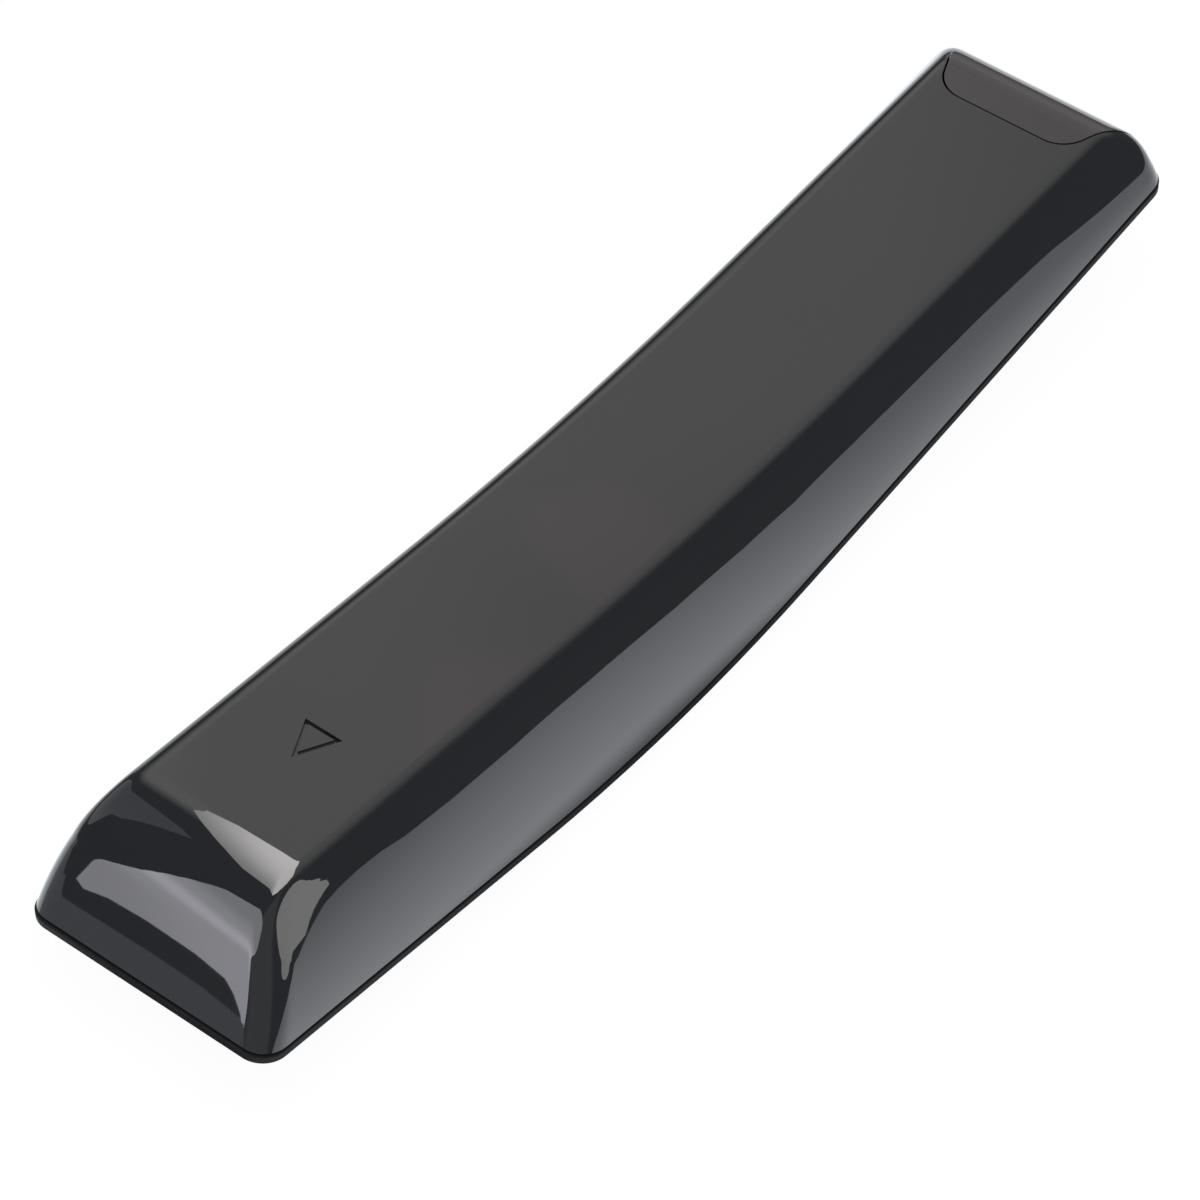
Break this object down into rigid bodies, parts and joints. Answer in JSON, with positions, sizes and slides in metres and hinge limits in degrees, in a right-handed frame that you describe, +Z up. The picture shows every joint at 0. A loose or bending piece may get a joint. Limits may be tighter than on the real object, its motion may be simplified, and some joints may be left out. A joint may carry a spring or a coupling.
{
  "type": "soundbar remote control",
  "caption": "Bent slim remote control with a sliding full-length rear cover, infra-red window, two cells, key ring, push keys and rocker keys.",
  "frame": {"origin": "centre of the bounding box seen from above, on the surface that the remote lies on, keys down", "axes": "+X along the body to the infra-red end, +Z up out of the sliding rear cover, +Y across to the remote's far side"},
  "size_m": [0.179, 0.037, 0.0271],
  "materials": {
    "cover_gloss": "glossy black ABS",
    "window_dark": "infra-red passing dark plastic, glossy",
    "case_black": "glossy black ABS, finely satin on the front",
    "frame_black": "fine matte moulded ABS",
    "board_green": "solder mask over glass fibre",
    "mat_silicone": "soft silicone",
    "dome_steel": "thin spring steel",
    "led_lens": "clear epoxy lens",
    "chip_resin": "moulded resin",
    "can_metal": "drawn can",
    "capacitor_sleeve": "dark sleeve over an aluminium can",
    "ceramic_parts": "ceramic chips",
    "cell_jacket": "plain printed-free jacket over the can",
    "contact_nickel": "nickel-plated strip",
    "screw_steel": "black zinc",
    "key_rubber": "satin hard keycap"
  },
  "bodies": {
    "root": {"ir_window": "window_dark", "front_case": "case_black", "rear_frame": "frame_black", "circuit_board": "board_green", "key_mat": "mat_silicone", "dome_contacts": "dome_steel", "ir_leds": "led_lens", "control_chip": "chip_resin", "crystal": "can_metal", "capacitor": "capacitor_sleeve", "chip_parts": "ceramic_parts", "battery_left": "cell_jacket", "battery_right": "cell_jacket", "link_contact": "contact_nickel", "plus_contact": "contact_nickel", "minus_contact": "contact_nickel", "case_screws": "screw_steel"},
    "cover": {"rear_cover": "cover_gloss"},
    "power": {"power_key": "key_rubber"},
    "source": {"source_key": "key_rubber"},
    "mute": {"mute_key": "key_rubber"},
    "tone": {"tone_key": "key_rubber"},
    "collar": {"ring_collar": "frame_black"},
    "ring": {"nav_ring": "key_rubber"},
    "play": {"play_key": "key_rubber"},
    "mode": {"mode_key": "key_rubber"},
    "pair": {"pair_key": "key_rubber"},
    "volume": {"volume_rocker": "key_rubber"},
    "bass": {"bass_rocker": "key_rubber"}
  },
  "joints": [
    {"name": "cover_slide", "type": "slide", "parent": "root", "child": "cover", "axis": [-0.9916, 0, 0.129], "range_m": [0, 0.18]},
    {"name": "power_press", "type": "slide", "parent": "root", "child": "power", "axis": [-0.1466, 0, 0.9892], "range_m": [0, 0.0006], "stiffness_N_per_m": 2000},
    {"name": "source_press", "type": "slide", "parent": "root", "child": "source", "axis": [-0.1466, 0, 0.9892], "range_m": [0, 0.0006], "stiffness_N_per_m": 2000},
    {"name": "mute_press", "type": "slide", "parent": "root", "child": "mute", "axis": [-0.1466, 0, 0.9892], "range_m": [0, 0.0006], "stiffness_N_per_m": 2000},
    {"name": "tone_press", "type": "slide", "parent": "root", "child": "tone", "axis": [-0.1466, 0, 0.9892], "range_m": [0, 0.0006], "stiffness_N_per_m": 2000},
    {"name": "play_press", "type": "slide", "parent": "root", "child": "play", "axis": [-0.1466, 0, 0.9892], "range_m": [0, 0.0006], "stiffness_N_per_m": 2000},
    {"name": "mode_press", "type": "slide", "parent": "root", "child": "mode", "axis": [-0.1466, 0, 0.9892], "range_m": [0, 0.0006], "stiffness_N_per_m": 2000},
    {"name": "pair_press", "type": "slide", "parent": "root", "child": "pair", "axis": [-0.1466, 0, 0.9892], "range_m": [0, 0.0006], "stiffness_N_per_m": 2000},
    {"name": "ring_roll", "type": "hinge", "parent": "root", "child": "collar", "pos_m": [0.05016, 0, 0.00933], "axis": [0.9892, 0, 0.1466], "range_deg": [-1.8, 1.8], "stiffness_Nm_per_rad": 0.5},
    {"name": "ring_pitch", "type": "hinge", "parent": "collar", "child": "ring", "pos_m": [0.05016, 0, 0.00933], "axis": [0, 1, 0], "range_deg": [-1.8, 1.8], "stiffness_Nm_per_rad": 0.5},
    {"name": "volume_rock", "type": "hinge", "parent": "root", "child": "volume", "pos_m": [0.01889, 0.0072, 0.00541], "axis": [0, 1, 0], "range_deg": [-2.6, 2.6], "stiffness_Nm_per_rad": 0.4},
    {"name": "bass_rock", "type": "hinge", "parent": "root", "child": "bass", "pos_m": [0.01889, -0.0072, 0.00541], "axis": [0, 1, 0], "range_deg": [-2.6, 2.6], "stiffness_Nm_per_rad": 0.4}
  ]
}
